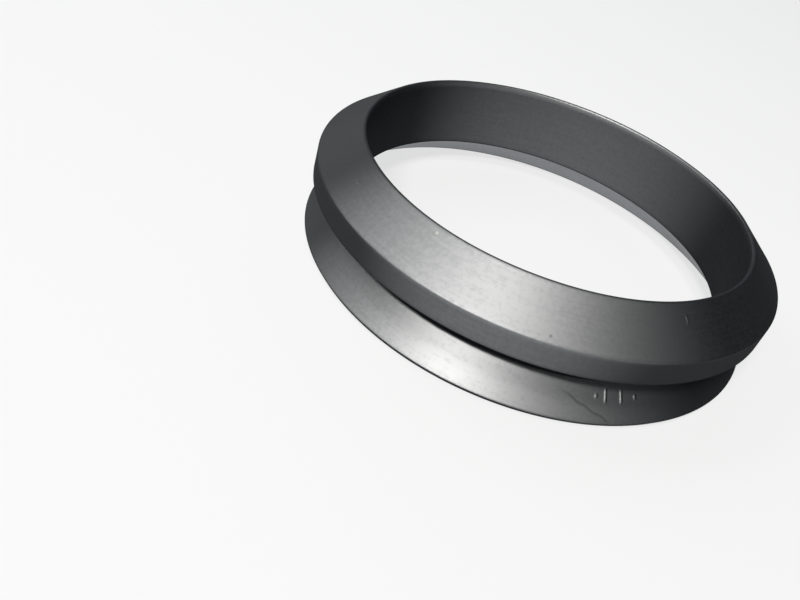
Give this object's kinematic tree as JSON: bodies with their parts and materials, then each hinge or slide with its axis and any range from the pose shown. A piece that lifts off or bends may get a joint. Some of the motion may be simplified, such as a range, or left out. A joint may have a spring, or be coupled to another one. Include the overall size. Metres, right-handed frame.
{
  "type": "v ring seal",
  "caption": "One-piece rubber V ring shaft seal with a conical back, a straight outer band, a V groove and a thin conical lip that wipes a flat face.",
  "frame": {"origin": "on the ring's axis, in the plane of the lip's sealing edge, on which the ring lies", "axes": "+Z along the shaft from the lip towards the conical back; X and Y are square to the shaft and alike"},
  "size_m": [0.0594, 0.0594, 0.0135],
  "materials": {
    "ring_rubber": "satin"
  },
  "bodies": {
    "root": {"v_ring": "ring_rubber"}
  },
  "joints": []
}
